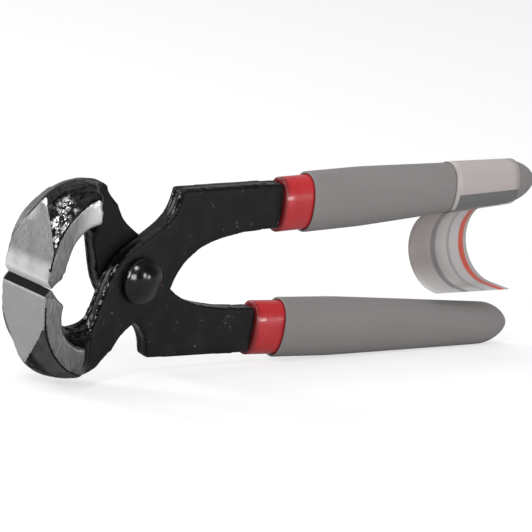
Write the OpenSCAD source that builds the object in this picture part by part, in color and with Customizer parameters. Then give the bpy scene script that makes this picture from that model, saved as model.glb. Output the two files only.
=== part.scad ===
// End cutting nippers: two forged levers crossed on a rivet, with double dipped
// handles and a film label folded round the upper handle.
// The plan is drawn as seen from the domed head of the rivet, with the rivet at
// the origin, X towards the handle ends and Y towards the upper handle. The
// finished tool is then stood on edge, so that +Z is up and the dome faces -Y.

/* [Levers] */
// Thickness of each forged lever
steel_t = 5.8; // [4.5:0.1:8]
// Gap between the two levers where they lie on each other
lap_gap = 0.1; // [0.05:0.05:0.4]
// Radius of the steel around the rivet
boss_r = 12; // [10.5:0.5:14]
// Distance from the rivet to the corner of the handle's shoulder, along the tool
shoulder_x = 12.1; // [9:0.1:14]
// Distance from the rivet to the corner of the handle's shoulder, across the tool
shoulder_y = 25.9; // [24:0.1:28]

/* [Jaws] */
// Width of the jaws
jaw_w = 20.4; // [16:0.1:26]
// Distance from the rivet to the cutting edges
edge_x = 35.1; // [34:0.1:36]
// Distance from the rivet to the front faces
front_x = 36.9; // [36.5:0.1:38]
// Gap between the cutting edges of the closed jaws
edge_gap = 0.3; // [0.1:0.1:1]
// Height of the unground land in front of each edge
land_h = 2.1; // [1:0.1:3]
// Depth of the bevel behind each edge
bevel_w = 3.3; // [2:0.1:4]
// Lean of the front faces in degrees
front_lean = 7.5; // [4:0.5:10]
// Radius of the hollow behind each edge
mouth_r = 10.9; // [10:0.1:12]
// Distance from the rivet to the middle of that hollow
mouth_x = 19.4; // [19:0.1:20]
// Height of the middle of that hollow above the closing line
mouth_y = 7.4; // [6.5:0.1:8]
// Radius of the hollow at the middle of the jaw, where the forging is thicker
mouth_mid_r = 7; // [6:0.1:10]
// Radius of the round back of each jaw, at its middle
back_r = 18.5; // [18:0.1:20]
// Radius of the round back at the sides of a jaw
back_side_r = 16.6; // [16.5:0.1:17.5]
// Distance from the rivet to the middle of that round back
back_x = 20.5; // [20:0.1:23]
// Height of the middle of that round back above the closing line
back_y = 10.5; // [9:0.1:11]
// Radius of the ground cheeks at the sides of a jaw
cheek_r = 22.4; // [21:0.1:23]
// Radius of the ground cheeks at the middle of a jaw
ridge_r = 28.2; // [26:0.1:30]
// Distance from the rivet to the middle of the cheeks
cheek_x = 14; // [13:0.1:15]
// Height of the middle of the cheeks above the closing line
cheek_y = 5.2; // [4:0.1:7]
// Distance from the rivet to the end of the flat jaw sides
side_end_x = 20.2; // [19:0.1:22]
// Radius of the hollow from the jaw sides down to the lever
hollow_r = 9; // [6:0.5:10]

/* [Handles] */
// Distance from the rivet to the start of the inner sleeve
sleeve_x = 51.7; // [46:0.1:56]
// Distance from the rivet to the start of the outer grip
grip_x = 62.8; // [58:0.1:80]
// Distance from the rivet to the end of the handles
tip_x = 163; // [150:0.1:200]
// Half of the distance between the handles' middles where the sleeves start
handle_y = 19.7; // [19:0.1:22]
// Spread of each handle in degrees
spread = 2.3; // [1:0.1:5]
// Lean of each handle towards the middle of the tool in degrees
set_in = 0.85; // [0:0.05:1.2]
// Height of the steel handle where the sleeve starts
bar_h = 14; // [12:0.1:14.5]
// Height of the grip's full part
grip_h = 18.5; // [17.8:0.1:19.5]
// Thickness of the grip's full part
grip_t = 10.4; // [9.8:0.1:12]
// Height of the grip before its round end
grip_end_h = 14; // [12.5:0.1:16]
// Thickness of the grip before its round end
grip_end_t = 8.8; // [8.6:0.1:10]
// Distance from the rivet to the start of the grip's taper
taper_x = 84; // [70:1:110]
// Length of the grip's round end
round_l = 13; // [8:0.5:15]
// Wall of the outer grip
grip_wall = 0.9; // [0.8:0.1:1.1]
// Height of the steel tang where the sleeve starts
tang_h = 11; // [9:0.1:11.5]
// Height of the tang at its end
tang_end_h = 7.4; // [5:0.1:8]
// Thickness of the tang
tang_t = 4.2; // [3:0.1:4.6]
// Distance from the end of the tang to the end of the handle
tang_end = 12; // [8:0.5:40]

/* [Rivet] */
// Diameter of the rivet
rivet_d = 8; // [6:0.1:10]
// Clearance around the rivet in the lever that turns on it
run_gap = 0.05; // [0.02:0.01:0.1]
// Clearance around the rivet in the lever that holds it
seat_gap = 0.01; // [0.01:0.01:0.02]
// Diameter of the rivet's domed head
head_d = 13.6; // [12:0.1:15]
// Height of the straight side of that head
head_side = 2; // [0.5:0.1:2.4]
// Height of the dome on it
dome_h = 2.1; // [1:0.1:2.2]
// Diameter of the closed head at the back
tail_d = 13; // [11:0.1:14.5]
// Height of the closed head at the back
tail_h = 1.9; // [1:0.1:3]

/* [Label] */
// Distance from the rivet to the near edge of the label
label_x = 123.5; // [115:0.5:128]
// Width of the label along the handle
label_w = 29; // [20:0.5:32]
// Width of the hanging part of the label along the handle
curl_w = 26; // [18:0.5:29]
// Thickness of the label film
film_t = 0.4; // [0.3:0.05:0.8]
// Clearance between the film and the grip
film_gap = 0.05; // [0.02:0.01:0.2]
// Radius of the hanging curl
curl_r = 13.2; // [10:0.1:13.5]
// Length of the flat end of the film at its edge nearer the jaws
flat_near = 1.6; // [1:0.1:6]
// Length of the flat end of the film at its edge nearer the handle's end
flat_far = 8.4; // [1:0.1:9]

/* [Hidden] */
$fn = 96;

// Overrun of every cut
over = 1;
// Thickness of the slices that the dipped handles are drawn over
slice = 0.5;
// Points on each curve of the levers' outline
curve_n = 12;
// Clearance between the dipped layers, and between them and the steel
layer_gap = 0.05;
// How far the tang reaches back into the steel handle
tang_root = 4;

// Faces of a lever: the one on the lap and the outer one
lap_z = lap_gap / 2;
face_z = lap_z + steel_t;
lever_z = lap_z + steel_t / 2;
// Where the handles start to lean in, as a share of the shoulder and as a length
lean_share = 1.4;
lean_x = shoulder_x * lean_share;
lean_y = handle_y - (sleeve_x - lean_x) * tan(spread);
// Length along a leaning handle for each unit along the tool
along = 1 / cos(spread) / cos(set_in);
handle_l = (tip_x - lean_x) * along;

// Sizes of the dipped layers, worked out from the grip
sleeve_h = grip_h - 2 * grip_wall;
sleeve_t = grip_t - 2 * grip_wall;
sleeve_end_h = grip_end_h - 2 * grip_wall;
sleeve_end_t = grip_end_t - 2 * grip_wall;
// Corner radius of the handles' section and the crown of its flat sides, as shares
// of its thickness
corner_share = 0.36;
crown_share = 0.12;
// Places of the rods that round the section, as shares from its middle to a corner
rod_shares = [-1, -0.4, 0.4, 1];
// How much the cheeks are hollowed: 1 is straight
cheek_power = 1.5;
// Slices of the hollowed cheeks
cheek_n = 6;
// Angles at which the round ends are sliced
round_steps = [0, 25, 45, 62, 76];

// Control points of the outline around the rivet, as shares of the boss radius
nose_shares = [[-0.70, 0.30], [-0.52, 0.63], [-0.12, 0.82], [0.25, 1.07]];
belly_shares = [[1.03, -0.27], [0.88, -0.75], [0.38, -0.80], [-0.08, -1.16]];
arm_in_shares = [[-1.05, -0.83], [-0.96, -0.08]];
arm_out_shares = [[-0.48, -1.42], [-0.74, -1.75]];
// Control points of the shoulder, as shares of its corner
shoulder_shares = [[0.82, 0.66], [0.94, 0.76]];
// Control points of the crotch, as shares of the start of the sleeve and of the
// handle's inner edge there
crotch_shares = [[0.295, 0.56], [0.47, 1.04]];
// Angle of the corners where a jaw meets its arm, on the hollow and on the back
mouth_turn = 72;
back_turn = 58;

// Size of the whole tool, for its place on the ground
grip_reach = lean_y + (handle_l - round_l) * sin(spread) + grip_end_h / 2 * cos(spread);
front_reach = front_x;
label_mid = label_x + label_w / 2;
curl_top = grip_half(label_x) + film_gap;
curl_z = lever_z - (label_mid - lean_x) * tan(set_in);
film_back = curl_r - curl_z;

function at(share, size) = [share[0] * size, share[1] * size];
function curve(a, b, c, d) = [
    for (i = [0 : curve_n])
        let (t = i / curve_n, s = 1 - t)
        s * s * s * a + 3 * s * s * t * b + 3 * s * t * t * c + t * t * t * d
];
// Half height of the grip at a distance from the rivet
function grip_half(x) =
    (grip_h - (grip_h - grip_end_h) * max(0, x - taper_x) / (tip_x - round_l - taper_x)) / 2;
function grip_half_t(x) =
    (grip_t - (grip_t - grip_end_t) * max(0, x - taper_x) / (tip_x - round_l - taper_x)) / 2;

// Levers. A lever is drawn with its jaw below the closing line and its handle
// above it, on the domed side of the lap. The other lever is the same forging,
// turned over.

// Corner of the hollow behind the edge, where the arm starts
mouth_corner = [-mouth_x + mouth_r * cos(mouth_turn), -mouth_y - mouth_r * sin(mouth_turn)];
// Corner of the jaw's round back, where the arm starts
arm_r = (back_r + back_side_r) / 2;
back_corner = [-back_x + arm_r * cos(back_turn), -back_y - arm_r * sin(back_turn)];
shoulder_corner = [shoulder_x, shoulder_y];
bar_out = [sleeve_x, handle_y + bar_h / 2];
bar_in = [sleeve_x, handle_y - bar_h / 2];

// Arm's edge along the mouth, up to the steel around the rivet
arm_in = curve(mouth_corner, at(arm_in_shares[0], boss_r), at(arm_in_shares[1], boss_r),
               at(nose_shares[0], boss_r));
nose = curve(at(nose_shares[0], boss_r), at(nose_shares[1], boss_r), at(nose_shares[2], boss_r),
             at(nose_shares[3], boss_r));
shoulder = curve(at(nose_shares[3], boss_r),
                 [shoulder_shares[0][0] * shoulder_x, shoulder_shares[0][1] * shoulder_y],
                 [shoulder_shares[1][0] * shoulder_x, shoulder_shares[1][1] * shoulder_y],
                 shoulder_corner);
crotch = curve(bar_in,
               [crotch_shares[1][0] * sleeve_x, crotch_shares[1][1] * bar_in[1]],
               [crotch_shares[0][0] * sleeve_x, crotch_shares[0][1] * bar_in[1]],
               at(belly_shares[0], boss_r));
belly = curve(at(belly_shares[0], boss_r), at(belly_shares[1], boss_r),
              at(belly_shares[2], boss_r), at(belly_shares[3], boss_r));
arm_out = curve(at(belly_shares[3], boss_r), at(arm_out_shares[0], boss_r),
                at(arm_out_shares[1], boss_r), back_corner);

// Lever from the jaw's corners to the sleeve
module web_plan() {
    polygon(concat(arm_in, nose, shoulder, [bar_out], crotch, belly, arm_out,
                   [[-back_x, -back_y - mouth_r]]));
}

// Space between the jaw and its arm, left of the arm's edge. It narrows to the
// middle of the forging, and the bevel runs straight through.
module mouth() {
    intersection() {
        union() {
            double_cone(mouth_x, mouth_y, mouth_mid_r, mouth_r);
            translate([0, 0, -jaw_w])
                linear_extrude(2 * jaw_w)
                    polygon([[-edge_x, -edge_gap / 2],
                             [-edge_x + bevel_w, -edge_gap / 2 - bevel_w],
                             [-mouth_x - mouth_mid_r, -mouth_y],
                             [0, -mouth_y],
                             [0, boss_r],
                             [-edge_x, boss_r]]);
        }
        translate([0, 0, -jaw_w])
            linear_extrude(2 * jaw_w)
                polygon(concat(arm_in, [[-edge_x, boss_r], [-edge_x, mouth_corner[1] - mouth_r],
                                        [mouth_corner[0], mouth_corner[1] - mouth_r]]));
    }
}

// Outline of the jaw with its leaning front face, before its back is rounded
module jaw_plan() {
    front_top = back_y + back_r;
    polygon([[-edge_x, -edge_gap / 2],
             [-front_x, -land_h],
             [-front_x + (front_top - land_h) * tan(front_lean), -front_top],
             [back_corner[0], -front_top],
             [back_corner[0], -edge_gap / 2]]);
}

// Two cones, foot to foot, with radius mid at the middle of the jaw
module double_cone(x, y, mid, side) {
    for (half = [0, 1])
        mirror([0, 0, half])
            translate([-x, -y, 0])
                cylinder(r1 = mid, r2 = side, h = jaw_w / 2);
}

// Round form that the hollow ground cheeks follow, and the full width below it
module cheeks() {
    profile = [for (i = [0 : cheek_n])
                  let (s = i / cheek_n)
                  [cheek_r + (ridge_r - cheek_r) * pow(1 - s, cheek_power), s * jaw_w / 2]];
    for (half = [0, 1])
        mirror([0, 0, half])
            translate([-cheek_x, -cheek_y, 0])
                rotate_extrude()
                    polygon(concat([[0, 0]], profile, [[0, jaw_w / 2]]));
    translate([-front_x - over, -cheek_y, -jaw_w / 2])
        cube([front_x + over, cheek_y, jaw_w]);
}

// Round back of the jaw, narrowing to its sides, and the full width below it
module back() {
    double_cone(back_x, back_y, back_r, back_side_r);
    translate([-back_x - back_r, -back_y, -jaw_w / 2])
        cube([back_x + back_r, back_y, jaw_w]);
}

// Hollow between a jaw's side and the lever's face at height level
module side_hollow(level) {
    depth = jaw_w / 2 - level;
    short = max(0, hollow_r - depth);
    start = -side_end_x + sqrt(hollow_r * hollow_r - short * short);
    span = back_y + back_r + over;
    translate([start, over, level + hollow_r])
        rotate([90, 0, 0])
            cylinder(r = hollow_r, h = span + over);
    translate([start, -span, level])
        cube([hollow_r * 2, span + over, depth + over]);
    if (depth > hollow_r)
        translate([-side_end_x, -span, level + hollow_r])
            cube([hollow_r * 2, span + over, depth - hollow_r + over]);
}

module jaw() {
    difference() {
        intersection() {
            translate([0, 0, -jaw_w / 2])
                linear_extrude(jaw_w)
                    jaw_plan();
            back();
            cheeks();
        }
        side_hollow(face_z);
        mirror([0, 0, 1])
            side_hollow(-lap_z);
    }
}

// Steel handle and its tang, leaning in from the shoulder
module bar() {
    translate([lean_x, 0, lever_z])
        rotate([0, set_in, 0])
            translate([-lean_x, 0, -steel_t / 2])
                linear_extrude(steel_t)
                    intersection() {
                        web_plan();
                        translate([lean_x, 0])
                            square([sleeve_x - lean_x, shoulder_y * 2]);
                    }
    on_handle()
        tang(0);
}

// Flat tang inside the sleeve, or with a gap the slot that it fills
module tang(gap) {
    first = (sleeve_x - tang_root - lean_x) * along;
    last = (tip_x - tang_end - lean_x) * along + gap;
    half = tang_h / 2 + gap;
    end_half = tang_end_h / 2 + gap;
    translate([0, 0, -tang_t / 2 - gap])
        linear_extrude(tang_t + 2 * gap)
            polygon([[first, -half], [last, -end_half], [last, end_half], [first, half]]);
}

module lever(bore_gap) {
    difference() {
        union() {
            jaw();
            translate([0, 0, lap_z])
                linear_extrude(steel_t)
                    intersection() {
                        web_plan();
                        translate([-front_x, -back_y - back_r - over])
                            square([front_x + lean_x, back_y + back_r + shoulder_y * 2]);
                    }
            bar();
        }
        mouth();
        translate([0, 0, -jaw_w / 2])
            cylinder(d = rivet_d + 2 * bore_gap, h = jaw_w);
    }
}

// Places the parts of the upper handle along its own axis
module on_handle() {
    translate([lean_x, lean_y, lever_z])
        rotate([0, set_in, spread])
            children();
}

// Turns the lever and what is on it over, for the other half of the tool
module turned_over() {
    rotate([180, 0, 0])
        children();
}

// Stands the tool on edge
module standing() {
    translate([(front_reach - tip_x) / 2, (jaw_w / 2 - film_back) / 2, grip_reach])
        rotate([90, 0, 0])
            children();
}

// Rods of one slice across a handle: one in each corner, and the ones between them
// that crown the sides
module section_rods(x, h, t) {
    r = corner_share * t;
    out = t / 2 - r;
    for (z = [-1, 1], y = rod_shares)
        translate([x, y * (h / 2 - r), z * (abs(y) < 1 ? out : out - crown_share * t)])
            rotate([0, 90, 0])
                cylinder(r = r, h = slice, $fn = 32);
}

// Round ended rod along a handle, full up to the taper and slimmer at its end
module rod(from_x, to_x, h, t, end_h, end_t) {
    start = (from_x - lean_x) * along;
    turn = (max(from_x, taper_x) - lean_x) * along;
    finish = (to_x - lean_x) * along;
    last_step = round_steps[len(round_steps) - 1];
    hull() {
        section_rods(start, h, t);
        section_rods(turn, h, t);
        for (a = round_steps)
            section_rods(finish - slice - round_l * (1 - sin(a) / sin(last_step)),
                         end_h * cos(a), end_t * cos(a));
    }
}

module sleeve() {
    difference() {
        rod(sleeve_x, tip_x - grip_wall, sleeve_h, sleeve_t, sleeve_end_h, sleeve_end_t);
        tang(layer_gap);
    }
}

module grip() {
    difference() {
        rod(grip_x, tip_x, grip_h, grip_t, grip_end_h, grip_end_t);
        rod(sleeve_x, tip_x - grip_wall + layer_gap, sleeve_h + 2 * layer_gap,
            sleeve_t + 2 * layer_gap, sleeve_end_h + 2 * layer_gap, sleeve_end_t + 2 * layer_gap);
    }
}

// Stretch of the grip under the label, grown all round by extra
module label_core(extra, longer) {
    first = (label_x - lean_x) * along - longer;
    last = (label_x + label_w - lean_x) * along + longer;
    hull() {
        section_rods(first, 2 * (grip_half(label_x - longer) + extra),
                     2 * (grip_half_t(label_x - longer) + extra));
        section_rods(last, 2 * (grip_half(label_x + label_w + longer) + extra),
                     2 * (grip_half_t(label_x + label_w + longer) + extra));
    }
}

// Film that hangs from the label: half a turn behind the handle, then a flat end
// that is cut at a slant
module curl() {
    rotate([0, 90, 0])
        linear_extrude(curl_w)
            difference() {
                circle(r = curl_r);
                circle(r = curl_r - film_t);
                translate([-curl_r * 2, -curl_r])
                    square(curl_r * 2);
            }
    translate([0, -curl_r + film_t, 0])
        rotate([90, 0, 0])
            linear_extrude(film_t)
                polygon([[0, -film_t], [curl_w, -film_t], [curl_w, flat_far], [0, flat_near]]);
}

module rivet() {
    base = face_z + run_gap;
    top = base + head_side + dome_h;
    ball_r = (head_d * head_d / 4 + dome_h * dome_h) / (2 * dome_h);
    tail_r = (tail_d * tail_d / 4 + tail_h * tail_h) / (2 * tail_h);
    color([0.16, 0.16, 0.17])
        standing()
            union() {
                translate([0, 0, -face_z])
                    cylinder(d = rivet_d, h = face_z + base);
                intersection() {
                    translate([0, 0, top - ball_r])
                        sphere(r = ball_r);
                    translate([0, 0, base])
                        cylinder(d = head_d, h = head_side + dome_h);
                }
                mirror([0, 0, 1])
                    intersection() {
                        translate([0, 0, face_z + tail_h - tail_r])
                            sphere(r = tail_r);
                        translate([0, 0, face_z])
                            cylinder(d = tail_d, h = tail_h);
                    }
            }
}

module front_lever() {
    color([0.20, 0.20, 0.21])
        standing()
            lever(run_gap);
}

module back_lever() {
    color([0.17, 0.17, 0.18])
        standing()
            turned_over()
                lever(seat_gap);
}

module upper_sleeve() {
    color([0.78, 0.10, 0.14])
        standing()
            on_handle()
                sleeve();
}

module lower_sleeve() {
    color([0.78, 0.10, 0.14])
        standing()
            turned_over()
                on_handle()
                    sleeve();
}

module upper_grip() {
    color([0.56, 0.54, 0.53])
        standing()
            on_handle()
                grip();
}

module lower_grip() {
    color([0.56, 0.54, 0.53])
        standing()
            turned_over()
                on_handle()
                    grip();
}

module hang_label() {
    taper = atan((grip_h - grip_end_h) / 2 / (tip_x - round_l - taper_x));
    color([0.93, 0.92, 0.91])
        standing()
            on_handle()
                union() {
                    difference() {
                        label_core(film_gap + film_t, 0);
                        label_core(film_gap, over);
                    }
                    translate([(label_x - lean_x) * along, -curl_top - film_t / 2, 0])
                        rotate([0, 0, taper])
                            translate([0, -curl_r + film_t / 2, 0])
                                curl();
                }
}

back_lever();
front_lever();
rivet();
lower_sleeve();
upper_sleeve();
lower_grip();
upper_grip();
hang_label();
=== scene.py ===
import math
import bpy
import bmesh
from mathutils import Matrix, Vector


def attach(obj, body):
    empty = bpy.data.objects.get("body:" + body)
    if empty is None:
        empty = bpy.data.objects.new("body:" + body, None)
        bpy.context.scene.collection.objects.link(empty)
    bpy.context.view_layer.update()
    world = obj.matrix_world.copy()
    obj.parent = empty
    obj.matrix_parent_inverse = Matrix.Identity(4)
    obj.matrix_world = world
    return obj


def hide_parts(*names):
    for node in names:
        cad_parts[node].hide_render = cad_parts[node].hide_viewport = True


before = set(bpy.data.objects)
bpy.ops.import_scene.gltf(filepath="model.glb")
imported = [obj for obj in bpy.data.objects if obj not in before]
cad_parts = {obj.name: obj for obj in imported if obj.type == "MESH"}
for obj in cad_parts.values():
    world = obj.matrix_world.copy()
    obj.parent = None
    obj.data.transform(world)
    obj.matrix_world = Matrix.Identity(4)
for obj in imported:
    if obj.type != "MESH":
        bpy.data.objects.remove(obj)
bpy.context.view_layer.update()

scene = bpy.context.scene


# Camera: a long lens from the front left and a little above, rolled slightly, as the
# photograph was taken.
scene.view_settings.view_transform = "Standard"
lens = bpy.data.cameras.new("camera")
lens.sensor_width = 36
lens.lens = 203.0
lens.clip_start = 0.05
lens.clip_end = 60
camera = bpy.data.objects.new("camera", lens)
camera_place = Vector((-0.608623, -0.635273, 0.2332656))
right = Vector((0.742, -0.6543, 0.1459))
up = Vector((0.0447, 0.2654, 0.9631))
back = right.cross(up).normalized()
up = back.cross(right).normalized()
turn = Matrix((right.normalized(), up, back)).transposed().to_4x4()
camera.matrix_world = Matrix.Translation(camera_place) @ turn
scene.collection.objects.link(camera)
scene.camera = camera


# Studio: one broad lamp over the tool, a strip at the left, one behind and four small
# windows in front, which give the gloss its highlights. The world is white to the camera,
# fills the shadows, and shows dim in reflections on the camera's own side.
def lamp(name, place, target, size, watts):
    light = bpy.data.lights.new(name, "AREA")
    light.shape = "RECTANGLE"
    light.size, light.size_y = size
    light.energy = watts
    holder = bpy.data.objects.new(name, light)
    holder.location = place
    aim = Vector(target) - Vector(place)
    holder.rotation_euler = aim.to_track_quat("-Z", "Y").to_euler()
    scene.collection.objects.link(holder)


lamp("lamp_top", (-0.15, 0.25, 1.1), (0, 0, 0.03), (1.2, 0.8), 3.5)
lamp("lamp_left", (-0.86, -0.37, 0.72), (-0.05, 0, 0.03), (0.09, 0.6), 4.4)
lamp("lamp_behind", (-0.74, 0.8, 0.48), (-0.05, 0, 0.03), (0.24, 0.55), 7.5)
lamp("window_front", (-0.27, -1.1, 0.09), (-0.06, 0, 0.03), (0.28, 0.3), 3.7)
lamp("window_high", (-0.08, -0.95, 0.55), (-0.06, 0, 0.03), (0.15, 0.15), 1.4)
lamp("window_right", (0.38, -1.0, 0.16), (-0.06, 0, 0.03), (0.13, 0.18), 1.3)
lamp("window_low", (0.62, -0.85, 0.03), (-0.06, 0, 0.03), (0.12, 0.14), 1.0)

fill, mirror_dim, mirror_pale = 0.62, 0.12, 0.55
dim_y, pale_y = -0.75, 0.25
world = bpy.data.worlds.new("studio")
scene.world = world
world.use_nodes = True
nodes, links = world.node_tree.nodes, world.node_tree.links
nodes.clear()
path = nodes.new("ShaderNodeLightPath")
direction = nodes.new("ShaderNodeTexCoord")
split = nodes.new("ShaderNodeSeparateXYZ")
links.new(direction.outputs["Generated"], split.inputs[0])
mirror = nodes.new("ShaderNodeMapRange")
mirror.interpolation_type = "SMOOTHSTEP"
mirror.inputs["From Min"].default_value = dim_y
mirror.inputs["From Max"].default_value = pale_y
mirror.inputs["To Min"].default_value = mirror_dim
mirror.inputs["To Max"].default_value = mirror_pale
links.new(split.outputs["Y"], mirror.inputs["Value"])
seen = nodes.new("ShaderNodeMath")
seen.operation = "MAXIMUM"
links.new(path.outputs["Is Camera Ray"], seen.inputs[0])
links.new(path.outputs["Is Transmission Ray"], seen.inputs[1])
unseen = nodes.new("ShaderNodeMix")
links.new(path.outputs["Is Glossy Ray"], unseen.inputs["Factor"])
unseen.inputs["A"].default_value = fill
links.new(mirror.outputs[0], unseen.inputs["B"])
strength = nodes.new("ShaderNodeMix")
links.new(seen.outputs[0], strength.inputs["Factor"])
links.new(unseen.outputs["Result"], strength.inputs["A"])
strength.inputs["B"].default_value = 1.0
sky = nodes.new("ShaderNodeBackground")
links.new(strength.outputs["Result"], sky.inputs["Strength"])
links.new(sky.outputs[0], nodes.new("ShaderNodeOutputWorld").inputs[0])


# Floor: a pale sweep of paper. Part of its white is its own, so the shadow stays soft, and
# the gloss of the tool shows only a little of that.
floor_half, paper_tone, own_tone, mirror_share = 12, 0.38, 0.62, 0.15
floor_mesh = bpy.data.meshes.new("floor")
bm = bmesh.new()
bmesh.ops.create_grid(bm, x_segments=1, y_segments=1, size=floor_half)
bm.to_mesh(floor_mesh)
bm.free()
floor = bpy.data.objects.new("floor", floor_mesh)
scene.collection.objects.link(floor)
floor_finish = bpy.data.materials.new("floor paper")
floor_finish.use_nodes = True
nodes, links = floor_finish.node_tree.nodes, floor_finish.node_tree.links
nodes.clear()
path = nodes.new("ShaderNodeLightPath")
seen = nodes.new("ShaderNodeMath")
seen.operation = "MULTIPLY_ADD"
links.new(path.outputs["Is Glossy Ray"], seen.inputs[0])
seen.inputs[1].default_value = mirror_share
links.new(path.outputs["Is Camera Ray"], seen.inputs[2])
paper = nodes.new("ShaderNodeBsdfDiffuse")
paper.inputs["Color"].default_value = (paper_tone, paper_tone, paper_tone, 1)
own = nodes.new("ShaderNodeEmission")
links.new(seen.outputs[0], own.inputs["Strength"])
own.inputs["Color"].default_value = (own_tone, own_tone, own_tone, 1)
both = nodes.new("ShaderNodeAddShader")
links.new(paper.outputs[0], both.inputs[0])
links.new(own.outputs[0], both.inputs[1])
links.new(both.outputs[0], nodes.new("ShaderNodeOutputMaterial").inputs[0])
floor_mesh.materials.append(floor_finish)


# Levers: two drop forgings of one shape, crossed on the rivet, one turned over. They are
# lacquered black all over; then the front faces, the cheeks and the sides of the jaws
# are ground bright. The forging's own edges are round, the ground ones are crisp.
MM = 0.001
to_mm = (1 / MM,) * 3
pivot = Vector((-63.05, -0.923047, 30.6436))
lever_z, lean_x, lean_slope = 2.95, 16.94, 0.01484
jaw_half, side_x = 10.2, 19.0
front_x, land_h, front_lean = 36.9, 2.1, math.radians(7.5)
land_x, land_run, land_rise = 34.0, 0.678, 0.735
cheek_x, cheek_y, cheek_r, ridge_r, ridge_fall = 14.0, 5.2, 22.4, 28.2, 1.5
far_off = 9.0


def to_lever(point, turned):
    # Millimetres from the rivet, with the jaw below the closing line and the web above the lap
    x = point.x / MM - pivot.x
    y = point.z / MM - pivot.z
    z = pivot.y - point.y / MM
    return (x, -y, -z) if turned else (x, y, z)


def jaw_distances(x, y, z, turned):
    # How far a point is from the front face, the sides and the cheeks of the jaw. On the
    # upper jaw the narrow land before the edge is ground as well.
    lean_at = -front_x + (-y - land_h) * math.tan(front_lean)
    front = abs(x - lean_at) * math.cos(front_lean) if y < -land_h else far_off
    if turned and y >= -land_h and x < -land_x:
        front = abs((y + land_h) * land_run - (x + front_x) * land_rise)
    side = abs(abs(z) - jaw_half) if x < -side_x else far_off
    hollow = cheek_r + (ridge_r - cheek_r) * max(0.0, 1 - abs(z) / jaw_half) ** ridge_fall
    away = math.hypot(x + cheek_x, y + cheek_y) - hollow
    cheek = abs(away) * 0.85 if y < -cheek_y and x < -cheek_x else far_off
    return front, side, cheek


voxel, weld = 0.42, 0.002


def even_mesh(name, node):
    # The lever's solid, wrapped anew in small even faces
    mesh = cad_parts[node].data.copy()
    bm = bmesh.new()
    bm.from_mesh(mesh)
    bmesh.ops.remove_doubles(bm, verts=bm.verts, dist=weld * MM)
    bm.to_mesh(mesh)
    bm.free()
    mesh.materials.clear()
    rough = bpy.data.objects.new(name + "_rough", mesh)
    scene.collection.objects.link(rough)
    grain = rough.modifiers.new("voxels", "REMESH")
    grain.mode = "VOXEL"
    grain.voxel_size = voxel * MM
    wrapped = rough.evaluated_get(bpy.context.evaluated_depsgraph_get())
    bm = bmesh.new()
    bm.from_mesh(bpy.data.meshes.new_from_object(wrapped))
    bpy.data.objects.remove(rough)
    return bm


def soften(bm, verts, turns):
    for _ in range(turns):
        bmesh.ops.smooth_vert(bm, verts=verts, factor=0.5,
                              use_axis_x=True, use_axis_y=True, use_axis_z=True)


def bell(x, y, middle, width):
    # A smooth hill, 1 high, over a place in the lever's own frame
    return math.exp(-((x - middle[0]) ** 2 + (y - middle[1]) ** 2) / width)


ground_x, ground_reach = 12, 0.5
edge_x, edge_y, bore_r = 30, 4.5, 5.5
shoulder_x, shoulder_y, shoulder_z = 6, 12, 2.5
spur_at, spur_r, spur_z = (-20.3, -27), 5.2, 5
elbow_at, elbow_r = (-10.5, -25.5), 6
swell_low, swell_more, swell_at, swell_width, swell_x = 0.2, 1.3, (-7.2, -20.5), 18, 45


def hammer_rounds(bm, turned):
    # Takes the steps out of all faces, rounds what isn't ground, and gives the vertices of
    # the knife edge back
    places = {v: to_lever(v.co, turned) for v in bm.verts}
    ground = {v for v, p in places.items()
              if p[0] < -ground_x and min(jaw_distances(*p, turned)) < ground_reach}
    edge = {v for v, p in places.items() if p[0] < -edge_x and p[1] > -edge_y}
    bore = {v for v, p in places.items() if math.hypot(p[0], p[1]) < bore_r}
    loose = [v for v in bm.verts if v not in ground and v not in edge and v not in bore]
    shoulder = [v for v in loose if places[v][0] > shoulder_x and places[v][1] > shoulder_y
                and places[v][2] > shoulder_z]
    # Corners that the hammer left round: behind the jaw's sides, and where the arm starts
    spur = [v for v, p in places.items()
            if math.dist(p[:2], spur_at) < spur_r and abs(p[2]) > spur_z]
    elbow = [v for v in loose if math.dist(places[v][:2], elbow_at) < elbow_r]
    for part, turns in ((bm.verts, 2), (loose, 7), (shoulder, 18), (spur, 40), (elbow, 14)):
        soften(bm, part, turns)
    bm.normal_update()
    for v in loose:
        x, y, z = places[v]
        if x < swell_x:
            # The walls between the flat faces swell a little, most of all at the elbow
            swell = swell_low + swell_more * bell(x, y, swell_at, swell_width)
            v.co += Vector((v.normal.x, 0, v.normal.z)) * swell * MM
    return edge


edge_gap, slit_rise, slit_run = 0.15, 0.14, 5


def draw_edge(bm, edge, turned):
    # The knife edge, which the voxels blunt, is drawn out again to the closing line
    tip = [v for v in edge if to_lever(v.co, turned)[1] > -land_h]
    blunt = max(to_lever(v.co, turned)[1] for v in tip)
    grow = (land_h - edge_gap) / (land_h + blunt)
    land_foot = Vector((0, 0, (pivot.z + (land_h if turned else -land_h)) * MM))
    bmesh.ops.scale(bm, verts=tip, vec=(1, 1, grow), space=Matrix.Translation(-land_foot))
    for v in tip:
        # The edges come closest at the back, and leave a slit of light at the front
        x, y, z = to_lever(v.co, turned)
        behind = min(1, (jaw_half + (z if turned else -z)) / slit_run)
        lift = slit_rise * behind * (y + land_h) / land_h
        v.co.z += (-lift if turned else lift) * MM


zone_reach, zone_half, zone_blur = 1.2, 0.55, 0.5


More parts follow.
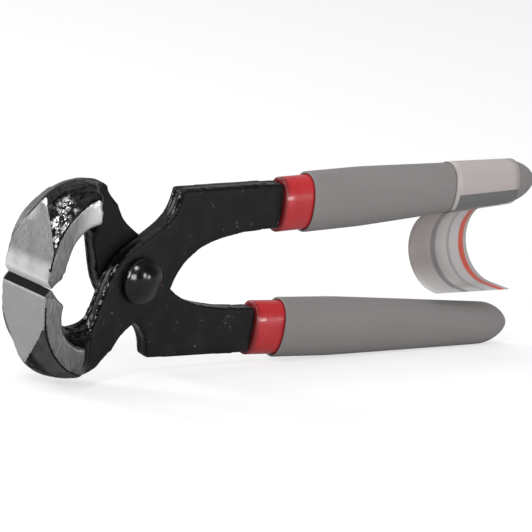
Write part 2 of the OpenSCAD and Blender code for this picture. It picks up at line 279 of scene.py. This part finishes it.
def mark_zones(bm, turned):
    # Marks how near each vertex is to a ground face: the front, the sides and the cheeks
    zones = bm.verts.layers.float_color.new("zones")
    for v in bm.verts:
        distances = jaw_distances(*to_lever(v.co, turned), turned)
        least = sorted((*distances, zone_reach))
        values = []
        for d in distances:
            other = least[1] if d == least[0] else least[0]
            nearest = min(1.0, max(0.0, 0.5 + other - d))
            close = min(1.0, max(0.0, 0.5 + (zone_half - d) / zone_blur))
            values.append(min(nearest, close))
        v[zones] = (*values, 1.0)


dent, dent_at, dent_width = 1.0, (-30.8, -5.4), 4.5
blunt_fill, blunt_at, blunt_width = 0.8, (-32.4, -2.8), 2
rim_drop, rim_z, rim_y, rim_x, rim_away = 1.0, (-3, 10), (16, 23), (16, 22), (19, 24)


def regrind(bm):
    for v in bm.verts:
        x, y, z = to_lever(v.co, True)
        # The upper jaw is ground out a little further behind its edge, down to a blunter one
        v.co.x -= dent * MM * bell(x, y, dent_at, dent_width)
        v.co.x += blunt_fill * MM * bell(x, y, blunt_at, blunt_width)
        # Its rim is lower at the back than at the front
        inward = Vector((-cheek_x - x, 0, y + cheek_y))
        drop = rim_drop
        for value, (start, full) in ((z, rim_z), (-y, rim_y), (-x, rim_x), (inward.length, rim_away)):
            share = min(1, max(0, (value - start) / (full - start)))
            drop *= share * share * (3 - 2 * share)
        v.co += inward.normalized() * drop * MM


def smooth_piece(name, bm):
    for face in bm.faces:
        face.smooth = True
    mesh = bpy.data.meshes.new(name)
    bm.to_mesh(mesh)
    bm.free()
    piece = bpy.data.objects.new(name, mesh)
    scene.collection.objects.link(piece)
    return piece


def forging(name, node, turned):
    bm = even_mesh(name, node)
    edge = hammer_rounds(bm, turned)
    draw_edge(bm, edge, turned)
    mark_zones(bm, turned)
    if turned:
        regrind(bm)
    return smooth_piece(name, bm)


def socket(tree, kind, name, value=None, way="INPUT"):
    made = tree.interface.new_socket(name=name, in_out=way, socket_type=kind)
    if value is not None:
        made.default_value = value


# Bumpy lacquer: a fine orange peel and some larger lumps, as one height
lumps = bpy.data.node_groups.new("lacquer lumps", "ShaderNodeTree")
socket(lumps, "NodeSocketVector", "Place")
socket(lumps, "NodeSocketFloat", "Lump Scale", 430.0)
socket(lumps, "NodeSocketFloat", "Peel Scale", 1300.0)
socket(lumps, "NodeSocketFloat", "Peel Share", 0.15)
socket(lumps, "NodeSocketFloat", "Height", way="OUTPUT")
socket(lumps, "NodeSocketFloat", "Mottle", way="OUTPUT")
given = lumps.nodes.new("NodeGroupInput")
taken = lumps.nodes.new("NodeGroupOutput")
large = lumps.nodes.new("ShaderNodeTexNoise")
large.inputs["Detail"].default_value = 1
large.inputs["Roughness"].default_value = 0.35
fine = lumps.nodes.new("ShaderNodeTexNoise")
fine.inputs["Detail"].default_value = 2
for source, scale in ((large, "Lump Scale"), (fine, "Peel Scale")):
    lumps.links.new(given.outputs["Place"], source.inputs["Vector"])
    lumps.links.new(given.outputs[scale], source.inputs["Scale"])
blend = lumps.nodes.new("ShaderNodeMix")
lumps.links.new(given.outputs["Peel Share"], blend.inputs["Factor"])
lumps.links.new(large.outputs["Fac"], blend.inputs["A"])
lumps.links.new(fine.outputs["Fac"], blend.inputs["B"])
lumps.links.new(blend.outputs["Result"], taken.inputs["Height"])
lumps.links.new(large.outputs["Fac"], taken.inputs["Mottle"])


def put(tree, kind, **values):
    node = tree.nodes.new(kind)
    for name, value in values.items():
        setattr(node, name, value)
    return node


def give(tree, target, value):
    # Links or sets one socket; a single number given to a colour stands for a grey
    if isinstance(value, bpy.types.NodeSocket):
        tree.links.new(value, target)
    elif target.type == "RGBA":
        target.default_value = (*(value if isinstance(value, tuple) else (value,) * 3), 1)
    else:
        target.default_value = value


def feed(tree, node, **values):
    # Links or sets sockets by name; a space in a name is written as an underscore
    for name, value in values.items():
        give(tree, node.inputs[name.replace("_", " ")], value)
    return node


def ramp(tree, value, low, high, to_low=0.0, to_high=1.0):
    node = put(tree, "ShaderNodeMapRange", interpolation_type="SMOOTHSTEP")
    feed(tree, node, Value=value, From_Min=low, From_Max=high, To_Min=to_low, To_Max=to_high)
    return node.outputs[0]


def maths(tree, operation, a, b=0.0):
    node = put(tree, "ShaderNodeMath", operation=operation)
    for target, value in zip(node.inputs, (a, b)):
        give(tree, target, value)
    return node.outputs[0]


def plus(tree, a, b):
    return maths(tree, "ADD", a, b)


def times(tree, a, b):
    return maths(tree, "MULTIPLY", a, b)


def most(tree, a, b):
    return maths(tree, "MAXIMUM", a, b)


def mixed(tree, factor, a, b):
    # Blends two colours, or two plain values
    node = put(tree, "ShaderNodeMix", data_type="RGBA")
    for target, value in ((node.inputs["Factor"], factor), (node.inputs[6], a), (node.inputs[7], b)):
        give(tree, target, value)
    return node.outputs[2]


def noise(tree, place, scale, stretch=(1, 1, 1), detail=3.0, roughness=0.5):
    lined = feed(tree, put(tree, "ShaderNodeMapping"), Vector=place, Scale=stretch)
    made = feed(tree, put(tree, "ShaderNodeTexNoise"), Vector=lined.outputs[0], Scale=scale,
                Detail=detail, Roughness=roughness)
    return made.outputs["Fac"]


def bumped(tree, height, strength, distance):
    node = put(tree, "ShaderNodeBump")
    return feed(tree, node, Height=height, Strength=strength, Distance=distance).outputs[0]


def apart(tree, vector):
    # The three numbers of a vector
    node = put(tree, "ShaderNodeSeparateXYZ")
    tree.links.new(vector, node.inputs[0])
    return node.outputs


def finish(name):
    made = bpy.data.materials.new(name)
    made.use_nodes = True
    tree = made.node_tree
    shader = tree.nodes["Principled BSDF"]
    place = put(tree, "ShaderNodeTexCoord").outputs["Object"]
    return made, tree, shader, place


def seam(tree, zone, other_zone, ragged):
    # The corner line between two ground faces, with a ragged outline
    least = maths(tree, "MINIMUM", zone, other_zone)
    return ramp(tree, plus(tree, least, ragged), 0.12, 0.26)


# Places of the finish, in the lever's own frame: from where a change starts to where it ends
cut_at, cut_rise = (-23.6, -22.2), (3.4, 3.1)
front_highlight_y, land_highlight_y, step_shadow_y, lower_side_y = (-8.6, -5.0), (-3.7, -2.4), (-16.5, -18.5), (-24, -8)
upper_side_x, crinkle_highlight_x, jaw_x, cheek_z = (-31, -22), (-28.0, -30.5), (-13, -15), (3.4, 5.0)
land_rise_x, land_rise_y = (-33.0, -34.0), (-2.8, -2.3)
flat_start, flat_end, wall_rise = (2.45, 2.8), (3.6, 3.2), (0.3, 1.4)
front_low, front_highlight, land_highlight, lower_front = (0.21, 0.21, 0.206), 0.65, 0.8, (0.52, 0.52, 0.517)
upper_side_dark, upper_side_highlight = (0.13, 0.126, 0.122), (0.70, 0.69, 0.69)
lower_side_dark, lower_side_pale = (0.098, 0.095, 0.092), (0.137, 0.133, 0.129)
lacquer_black, flat_dark, flat_pale = 0.004, (0.005, 0.005, 0.0055), (0.009, 0.009, 0.0105)
wet_black, crinkle_highlight_tone, far_grey = 0.012, (0.7, 0.7, 0.72), 0.2
satin_dark, satin_pale, glint_speck_grey = (0.065, 0.065, 0.067), (0.11, 0.11, 0.112), 0.16


def lever_finish(name, turned):
    made, tree, shader, place = finish(name)
    # The lever's own frame, in millimetres from the rivet
    way = 1 if turned else -1
    own = feed(tree, put(tree, "ShaderNodeMapping"), Vector=place, Scale=to_mm,
               Rotation=(way * math.pi / 2, 0, 0), Location=(-pivot.x, way * pivot.z, -way * pivot.y))
    x, y, z = apart(tree, own.outputs[0])
    near = ramp(tree, z, way, -way)
    zones = put(tree, "ShaderNodeSeparateColor")
    marks = put(tree, "ShaderNodeAttribute", attribute_name="zones")
    tree.links.new(marks.outputs["Color"], zones.inputs[0])
    front_zone, side_zone, cheek_zone = zones.outputs
    ragged = times(tree, maths(tree, "SUBTRACT", noise(tree, place, 900), 0.5), 0.5)
    front, side, cheek = (ramp(tree, plus(tree, zone, ragged), 0.44, 0.56) for zone in zones.outputs)
    if turned:
        # The ground side of the upper jaw ends in a round
        past_x = most(tree, maths(tree, "SUBTRACT", x, cut_at[0]), 0.0)
        past_y = most(tree, maths(tree, "SUBTRACT", cut_at[1], y), 0.0)
        square = plus(tree, maths(tree, "POWER", past_x, 2.0), maths(tree, "POWER", past_y, 2.0))
        past = maths(tree, "SQRT", square)
        side = times(tree, side, ramp(tree, plus(tree, past, ragged), *cut_rise))
    bright = most(tree, front, side)
    # Lacquer is left in the corner between a ground side and the cheek. On the upper jaw a black line is
    # also painted as the shadow of a step, in the far corner between the front and the cheek
    corner = seam(tree, side_zone, cheek_zone, ragged)
    if turned:
        step_shadow = times(tree, ramp(tree, near, 0.6, 0.4), ramp(tree, y, *step_shadow_y))
        corner = most(tree, corner, times(tree, seam(tree, front_zone, cheek_zone, ragged), step_shadow))
    # Fine grinding lines run up and down the front and the sides
    lines = noise(tree, place, 1, stretch=(5200, 5200, 260), roughness=0.7)
    soft = noise(tree, place, 170, detail=4.0)
    if turned:
        # Painted reflection: the upper front is paler in a band towards the edge, and palest on the land
        front_tone = mixed(tree, ramp(tree, y, *front_highlight_y), front_low, front_highlight)
        front_tone = mixed(tree, ramp(tree, y, *land_highlight_y), front_tone, land_highlight)
        # Painted highlight: the upper ground side grows paler towards the upper end of its strip
        side_tone = mixed(tree, ramp(tree, x, *upper_side_x), upper_side_dark, upper_side_highlight)
    else:
        front_tone = lower_front
        # Painted light from above: the lower ground side is a little paler towards its top
        side_tone = mixed(tree, ramp(tree, y, *lower_side_y), lower_side_dark, lower_side_pale)
    steel = mixed(tree, 0.88, 0.05, mixed(tree, side, front_tone, side_tone))
    steel = mixed(tree, ramp(tree, lines, 0.3, 0.75, 0, 0.28), steel, 0.95)
    # The flat faces came out satin, with small pale specks painted as glints, and the walls between them
    # glossy
    lean = times(tree, most(tree, maths(tree, "SUBTRACT", x, lean_x), 0.0), lean_slope)
    level = maths(tree, "ABSOLUTE", maths(tree, "SUBTRACT", plus(tree, z, lean), lever_z))
    flat = times(tree, ramp(tree, level, *flat_start), ramp(tree, level, *flat_end))
    face_tone = mixed(tree, ramp(tree, soft, 0.35, 0.7), flat_dark, flat_pale)
    glint_specks = ramp(tree, noise(tree, place, 1300, detail=1.0), 0.71, 0.76)
    face_tone = mixed(tree, times(tree, glint_specks, ramp(tree, soft, 0.5, 0.6)), face_tone, glint_speck_grey)
    black = mixed(tree, flat, lacquer_black, face_tone)
    # The lower cheek is satin where the wheel has touched it. The upper one is black and wet
    # on the near side, with painted highlights as bright crinkle patches behind the edge, and greyer on the
    # far side.
    cheek = times(tree, cheek, ramp(tree, maths(tree, "ABSOLUTE", z), *cheek_z))
    if turned:
        crinkle_highlight = noise(tree, place, 850, stretch=(1, 1, 0.6), detail=4.0, roughness=0.6)
        patch = ramp(tree, noise(tree, place, 260, detail=2.0), 0.36, 0.52)
        crinkle_highlight = times(tree, ramp(tree, crinkle_highlight, 0.45, 0.54), ramp(tree, x, *crinkle_highlight_x))
        cheek_satin_and_highlight = mixed(tree, times(tree, crinkle_highlight, patch), wet_black, crinkle_highlight_tone)
        cheek_satin_and_highlight = mixed(tree, near, far_grey, cheek_satin_and_highlight)
        wet = times(tree, near, 0.9)
    else:
        cheek_satin_and_highlight = mixed(tree, ramp(tree, soft, 0.4, 0.6), satin_dark, satin_pale)
        wet = times(tree, near, 0.1)
    colour = mixed(tree, cheek, black, cheek_satin_and_highlight)
    colour = mixed(tree, bright, colour, steel)
    colour = mixed(tree, corner, colour, lacquer_black)
    dry = maths(tree, "SUBTRACT", 1.0, corner)
    bare = times(tree, bright, dry)
    metal = most(tree, bare, times(tree, times(tree, cheek, dry), 0.85))
    # On the arms the gloss and the lumps run along the two edges of a wall
    rim = most(tree, ramp(tree, level, *wall_rise), ramp(tree, x, *jaw_x))
    gloss = mixed(tree, rim, 0.36, ramp(tree, flat, 0, 1, 0.11, 0.5))
    gloss = mixed(tree, cheek, gloss, ramp(tree, wet, 0, 1, 0.4, 0.18))
    gloss = mixed(tree, bare, gloss, ramp(tree, soft, 0.3, 0.7, 0.30, 0.42))
    # The land before the edge is dull and even, and so are the flat faces
    land = times(tree, ramp(tree, x, *land_rise_x), ramp(tree, y, *land_rise_y))
    gloss = mixed(tree, land, gloss, 0.85)
    calm = ramp(tree, most(tree, flat, land), 0, 1, 1.0, 0.05)
    lump = feed(tree, put(tree, "ShaderNodeGroup", node_tree=lumps), Place=place)
    height = times(tree, lump.outputs["Height"], times(tree, calm, ramp(tree, rim, 0, 1, 0.5, 1.2)))
    if not turned:
        height = mixed(tree, cheek, height, times(tree, height, 0.15))
    height = mixed(tree, bare, height, times(tree, lines, 0.03))
    feed(tree, shader, Base_Color=colour, Metallic=metal, Roughness=gloss,
         Normal=bumped(tree, height, 1.0, 0.0008), Specular_IOR_Level=0.18)
    return made


for name, node, body, turned in (("front_lever_forging", "front_lever", "front_half", False),
                                 ("back_lever_forging", "back_lever", "back_half", True)):
    piece = forging(name, node, turned)
    piece.data.materials.append(lever_finish(name.replace("_", " "), turned))
    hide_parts(node)
    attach(piece, body)


# Rivet: a turned steel pin with a thick button head, upset at the back over the bore.
# It is blacked with the levers and polished by wear, so it shows the lamps.
head_r, head_side, head_edge, head_foot, dome_h = 6.8, 2.0, 0.35, 0.2, 2.0
shank_r, face_z, run_gap, tail_r, tail_h = 4.0, 5.85, 0.05, 6.5, 1.9
rivet_dark, rivet_pale = 0.003, (0.007, 0.006, 0.006)


def spun(name, outline, centre, axis):
    # A profile of (radius, height) pairs spun round the pivot's axis
    bm = bmesh.new()
    before = None
    for radius, height in outline:
        v = bm.verts.new(centre + Vector((radius * MM, 0, 0)) + axis * height * MM)
        if before:
            bm.edges.new((before, v))
        before = v
    bmesh.ops.spin(bm, geom=bm.verts[:] + bm.edges[:], cent=centre, axis=axis, angle=2 * math.pi,
                   steps=96, use_merge=True)
    bmesh.ops.remove_doubles(bm, verts=bm.verts, dist=1e-7)
    bmesh.ops.recalc_face_normals(bm, faces=bm.faces)
    return smooth_piece(name, bm)


def dome(radius, height, start, steps):
    # From the rim of a dome to its middle
    ball = (radius * radius + height * height) / (2 * height)
    whole = math.asin(radius / ball)
    return [(ball * math.sin(whole * (1 - i / steps)),
             start + height - ball * (1 - math.cos(whole * (1 - i / steps)))) for i in range(steps + 1)]


base = face_z + run_gap
outline = [(0, -face_z - tail_h)]
outline += [(r, -h) for r, h in reversed(dome(tail_r, tail_h, face_z, 14))][1:]
outline += [(shank_r, -face_z), (shank_r, base), (head_r - head_foot, base), (head_r, base + head_foot)]
for degrees in (90, 70, 50, 30):
    a = math.radians(degrees)
    outline.append((head_r - head_edge + head_edge * math.sin(a),
                    base + head_side - head_edge + head_edge * math.cos(a)))
outline += dome(head_r - head_edge, dome_h, base + head_side, 16)
rivet = spun("rivet_pin", outline, pivot * MM, Vector((0, -1, 0)))
made, tree, shader, place = finish("rivet steel")
lump = put(tree, "ShaderNodeGroup", node_tree=lumps)
feed(tree, lump, Place=place, Lump_Scale=300.0, Peel_Share=0.1)
mottle = lump.outputs["Mottle"]
tone = mixed(tree, ramp(tree, mottle, 0.35, 0.7), rivet_dark, rivet_pale)
feed(tree, shader, Base_Color=tone, Roughness=ramp(tree, mottle, 0.3, 0.7, 0.1, 0.17),
     Normal=bumped(tree, lump.outputs["Height"], 0.25, 0.0001), Specular_IOR_Level=0.42)
rivet.data.materials.append(made)
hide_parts("rivet")
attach(rivet, "back_half")


# Sleeves: the first dip, a glossy red vinyl skin on each tang. Only a collar of it shows
# in front of the grip. It is modelled as dipped: one skin that follows the tang inside.
lean_y, spread, set_in = 18.3039, math.radians(2.3), math.radians(0.85)
along = 1 / math.cos(spread) / math.cos(set_in)
sleeve_x, grip_x, taper_x, tip_x, round_l = 51.7, 62.8, 84.0, 163.0, 13.0
grip_h, grip_t, grip_end_h, grip_end_t, grip_wall = 18.5, 10.4, 14.0, 8.8, 0.9
taper_soft, tip_point, sleeve_edge = 0.04, 1.35, 0.45
tang_h, tang_end_h, tang_t, tang_end, tang_gap, tang_tuck = 11.0, 7.4, 4.2, 12.0, 0.1, 0.14
red_deep, red_pale = (0.40, 0.019, 0.023), (0.46, 0.026, 0.031)
red_edge, edge_fade = (0.15, 0.012, 0.014), (0.2, 2.6)


def handle_place(turned):
    # Takes millimetres along the upper handle's own axis into the scene, in metres
    lean = Matrix.Rotation(spread, 4, "Z") @ Matrix.Rotation(set_in, 4, "Y")
    handle = Matrix.Translation((lean_x, lean_y, lever_z)) @ lean
    if turned:
        handle = Matrix.Rotation(math.pi, 4, "X") @ handle
    stand = Matrix.Rotation(math.pi / 2, 4, "X")
    return Matrix.Diagonal((MM, MM, MM, 1)) @ Matrix.Translation(pivot) @ stand @ handle


def oval(bm, x, h, t, fullness=2.3):
    # A full oval across the handle: a circle whose four shoulders are pushed out
    bmesh.ops.create_circle(bm, segments=56, radius=1)
    for v in bm.verts:
        side, front = (math.copysign(abs(c) ** (2 / fullness), c) for c in (v.co.x, v.co.y))
        v.co = ((x - lean_x) * along, side * h / 2, front * t / 2)
    return bm.edges[:]


def verts_of(geom):
    return [g for g in geom if isinstance(g, bmesh.types.BMVert)]


def skin(name, stations, turned):
    # A closed skin through oval sections: each station is (distance, height, thickness)
    bm = bmesh.new()
    x, h, t = stations[0]
    loop = oval(bm, x, h, t)
    bmesh.ops.edgeloop_fill(bm, edges=loop)
    for nx, nh, nt in stations[1:]:
        grown = bmesh.ops.extrude_edge_only(bm, edges=loop)["geom"]
        verts = verts_of(grown)
        new = set(verts)
        loop = [g for g in grown if isinstance(g, bmesh.types.BMEdge) and all(v in new for v in g.verts)]
        bmesh.ops.scale(bm, verts=verts, vec=(1, nh / h, nt / t))
        bmesh.ops.translate(bm, verts=verts, vec=((nx - x) * along, 0, 0))
        x, h, t = nx, nh, nt
    bmesh.ops.edgeloop_fill(bm, edges=loop)
    bmesh.ops.recalc_face_normals(bm, faces=bm.faces)
    bm.transform(handle_place(turned))
    return smooth_piece(name, bm)


def narrowed(x, last):
    # How far the handle has narrowed: 0 where the taper starts, and 1 at the last station
    share = min(1, max(0, (x - taper_x) / (last - taper_x)))
    return share * share / (share + taper_soft) * (1 + taper_soft)


def outside(start, end, wall, edge):
    # Stations of a dipped skin's outside, from its rolled edge to its round end
    h, t = grip_h - 2 * wall, grip_t - 2 * wall
    end_h, end_t = grip_end_h - 2 * wall, grip_end_t - 2 * wall
    rows = []
    for degrees in (0, 25, 50, 70, 90):
        a = math.radians(degrees)
        tuck = 2 * edge * (1 - math.sin(a))
        rows.append((start + edge * (1 - math.cos(a)), h - tuck, t - tuck))
    first, last = start + edge, end - round_l
    steps = 26
    for i in range(1, steps + 1):
        x = first + (last - first) * i / steps
        share = narrowed(x, last)
        rows.append((x, h - (h - end_h) * share, t - (t - end_t) * share))
    end_turns = (8, 16, 24, 32, 40, 48, 55, 62, 69, 75, 80)
    whole = math.sin(math.radians(end_turns[-1]))
    for degrees in end_turns:
        a = math.radians(degrees)
        rows.append((last + round_l * math.sin(a) / whole, end_h * math.cos(a) ** tip_point,
                     end_t * math.cos(a)))
    return rows


def sleeve_stations():
    # From the inside's far end to its mouth, and back along the outside
    slot = [(tip_x - tang_end, tang_end_h + tang_gap, tang_t + tang_gap),
            (sleeve_x, tang_h + tang_gap - tang_tuck, tang_t + tang_gap)]
    return slot + outside(sleeve_x, tip_x - grip_wall, grip_wall, sleeve_edge)


made, tree, shader, place = finish("red dip")
wave = noise(tree, place, 60, detail=2.0)
speck = noise(tree, place, 1500, detail=1.0)
tone = mixed(tree, ramp(tree, wave, 0.35, 0.65), red_deep, red_pale)
# The first two millimetres are darker, where the skin thins out
from_edge = plus(tree, times(tree, apart(tree, place)[0], 1 / MM), -pivot.x - sleeve_x)
tone = mixed(tree, ramp(tree, plus(tree, from_edge, wave), *edge_fade), red_edge, tone)
feed(tree, shader, Base_Color=tone, Roughness=ramp(tree, wave, 0.3, 0.7, 0.22, 0.3),
     Normal=bumped(tree, mixed(tree, 0.15, wave, speck), 0.25, 0.0004),
     Coat_Weight=0.3, Coat_Roughness=0.08, Specular_IOR_Level=0.35)
red_dip = made
for name, node, body, turned in (("upper_sleeve_dip", "upper_sleeve", "front_half", False),
                                 ("lower_sleeve_dip", "lower_sleeve", "back_half", True)):
    piece = skin(name, sleeve_stations(), turned)
    piece.data.materials.append(red_dip)
    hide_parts(node)
    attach(piece, body)


# Grips: the second dip, a thicker matte grey vinyl with round ends. Its open edge is
# rolled where the dip stopped, and its surface has a fine grain and slight flow marks.
grip_edge, grip_lap, mouth_depth, mouth_clear = 0.42, 0.05, 0.45, 1.0
grey_deep, grey_pale, grain_dark = (0.196, 0.183, 0.182), (0.222, 0.208, 0.207), (0.145, 0.136, 0.134)


def grip_stations():
    # From the inside's far end to its mouth, and back along the outside. The inside lies
    # a little under the skin of the sleeve.
    inner = outside(sleeve_x, tip_x - grip_wall + grip_lap, grip_wall - grip_lap, grip_lap)
    inside = [row for row in inner if row[0] > grip_x + mouth_clear]
    inside.reverse()
    mouth = (grip_x + mouth_depth, inside[-1][1], inside[-1][2])
    return inside + [mouth] + outside(grip_x, tip_x, 0, grip_edge)


made, tree, shader, place = finish("grey dip")
grain_fine = noise(tree, place, 2600, detail=2.0)
flow = noise(tree, place, 30, stretch=(0.5, 1, 1.6))
tone = mixed(tree, ramp(tree, flow, 0.3, 0.7), grey_deep, grey_pale)
tone = mixed(tree, ramp(tree, grain_fine, 0.4, 0.7, 0, 0.25), tone, grain_dark)
feed(tree, shader, Base_Color=tone, Roughness=ramp(tree, grain_fine, 0.3, 0.7, 0.5, 0.62),
     Normal=bumped(tree, mixed(tree, 0.5, flow, grain_fine), 0.35, 0.00025), Specular_IOR_Level=0.35)
grey_dip = made
for name, node, body, turned in (("upper_grip_dip", "upper_grip", "front_half", False),
                                 ("lower_grip_dip", "lower_grip", "back_half", True)):
    piece = skin(name, grip_stations(), turned)
    piece.data.materials.append(grey_dip)
    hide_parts(node)
    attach(piece, body)


# Label: a strip of clear film, printed white where it lies on the grip, shrunk round the
# upper handle. Its free end hangs behind in a curl that turns back under the handle, with
# a red stripe along the outer edge and plain grey bars.
label_x, label_w, curl_w, curl_r, lead_z = 123.5, 29.0, 26.0, 13.2, 0.6
film_t, film_gap, film_skin, flat_near, flat_far = 0.4, 0.05, 0.22, 1.6, 8.4


def film_size(x):
    # The height and thickness of the film's ring round the grip
    share = narrowed(x, tip_x - round_l)
    slack = 2 * film_gap + film_t
    return grip_h - (grip_h - grip_end_h) * share + slack, grip_t - (grip_t - grip_end_t) * share + slack


start_h, start_t = film_size(label_x)
end_h, end_t = film_size(label_x + label_w)
reach = (label_x - lean_x) * along
bm = bmesh.new()
grown = bmesh.ops.extrude_edge_only(bm, edges=oval(bm, label_x, start_h, start_t))["geom"]
bmesh.ops.scale(bm, verts=verts_of(grown), vec=(1, end_h / start_h, end_t / start_t))
bmesh.ops.translate(bm, verts=verts_of(grown), vec=(label_w * along, 0, 0))
ring_edges, ring_verts = set(bm.edges), set(bm.verts)
# The curl: half a turn, then the flat end, drawn across and then pulled along the handle
top = -start_h / 2
middle = top - curl_r + film_t / 2
first = bm.verts.new((reach, middle + curl_r - film_t / 2, lead_z))
second = bm.verts.new((reach, middle + curl_r - film_t / 2, 0))
bm.edges.new((first, second))
turned_down = bmesh.ops.spin(bm, geom=[second], cent=(reach, middle, 0), axis=(-1, 0, 0),
                             angle=math.pi, steps=28)
flat = bmesh.ops.extrude_vert_indiv(bm, verts=verts_of(turned_down["geom_last"])[:1])
bmesh.ops.translate(bm, verts=flat["verts"], vec=(0, 0, flat_near - film_t / 2))
line = [e for e in bm.edges if e not in ring_edges]
verts = verts_of(bmesh.ops.extrude_edge_only(bm, edges=line)["geom"])
bmesh.ops.translate(bm, verts=verts, vec=(curl_w, 0, 0))
# The flat end is cut on a slant: its far corner reaches further than its near one
bottom = min(v.co.y for v in verts)
far_corner = max((v for v in verts if v.co.y < bottom + film_gap), key=lambda v: v.co.z)
far_corner.co.z = flat_far - film_t / 2
# The curl hangs from the handle's lower side, so it follows the taper there
tilt = math.atan((grip_h - grip_end_h) / 2 / (tip_x - round_l - taper_x))
curl_verts = [v for v in bm.verts if v not in ring_verts]
bmesh.ops.rotate(bm, verts=curl_verts, cent=(reach, top, 0), matrix=Matrix.Rotation(tilt, 3, "Z"))
long_edges = [e for e in bm.edges if abs(e.verts[0].co.x - e.verts[1].co.x) > curl_w / 2]
bmesh.ops.subdivide_edges(bm, edges=long_edges, cuts=9, use_grid_fill=True)
bm.transform(handle_place(False))
label = smooth_piece("film_label", bm)
wall = label.modifiers.new("film", "SOLIDIFY")
wall.thickness = film_skin * MM
wall.offset = 0

# Places on the film: millimetres from its near edge, and heights from the handle's middle
edge_margin, blur, thin_blur = 1.6, 0.3, 0.2
panel_low, grip_low, print_fade, foot_fade, far_fade = -1.3, -6.3, (-8.6, -8.2), (-27.0, -35.0), (7.0, 20.0)
bar_from, bar_to, thin_from, thin_to, stripe_from, stripe_to = 10.0, 12.6, 17.3, 18.8, 22.7, 25.3
near_tone, far_tone, haze_tone = (0.29, 0.25, 0.24), (0.56, 0.55, 0.545), (0.38, 0.35, 0.34)
wrap_tone, panel_tone = (0.22, 0.22, 0.226), (0.41, 0.372, 0.362)
stripe_tone, bar_tone = (0.56, 0.10, 0.07), (0.13, 0.13, 0.14)


def band(tree, value, start, end, soft):
    # A stripe between two values, with soft edges
    return times(tree, ramp(tree, value, start, start + soft), ramp(tree, value, end, end - soft))


made, tree, shader, place = finish("label film")
undo = handle_place(False).inverted()
spot = feed(tree, put(tree, "ShaderNodeMapping"), Vector=place, Scale=to_mm,
            Rotation=undo.to_3x3().normalized().to_euler(), Location=undo.to_translation())
x, y, z = apart(tree, spot.outputs[0])
from_near = maths(tree, "SUBTRACT", x, reach)
on_grip = ramp(tree, y, grip_low - blur, grip_low)
margin = times(tree, ramp(tree, from_near, edge_margin + blur, edge_margin), on_grip)
panel = times(tree, most(tree, ramp(tree, y, panel_low - blur, panel_low), margin), on_grip)
off_grip = maths(tree, "SUBTRACT", 1.0, ramp(tree, y, *print_fade))
stripe = times(tree, band(tree, from_near, stripe_from, stripe_to, blur), off_grip)
bar = band(tree, from_near, bar_from, bar_to, blur)
thin = times(tree, band(tree, from_near, thin_from, thin_to, thin_blur), 0.6)
bars = times(tree, most(tree, bar, thin), off_grip)
# The free film is greyish brown at its near edge, and paler towards the far edge and the foot
haze = noise(tree, place, 120, detail=1.0)
pale = most(tree, ramp(tree, from_near, *far_fade), ramp(tree, y, *foot_fade))
tone = mixed(tree, pale, near_tone, far_tone)
tone = mixed(tree, times(tree, haze, 0.5), tone, haze_tone)
tone = mixed(tree, on_grip, tone, wrap_tone)
tone = mixed(tree, panel, tone, panel_tone)
tone = mixed(tree, stripe, tone, stripe_tone)
tone = mixed(tree, times(tree, bars, 0.7), tone, bar_tone)
inked = most(tree, most(tree, panel, stripe), times(tree, bars, 0.8))
clear = mixed(tree, off_grip, 0.4, 0.82)
feed(tree, shader, Base_Color=tone, Roughness=0.33, Alpha=mixed(tree, inked, clear, 1.0),
     Specular_IOR_Level=0.4)
label.data.materials.append(made)
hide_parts("hang_label")
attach(label, "front_half")
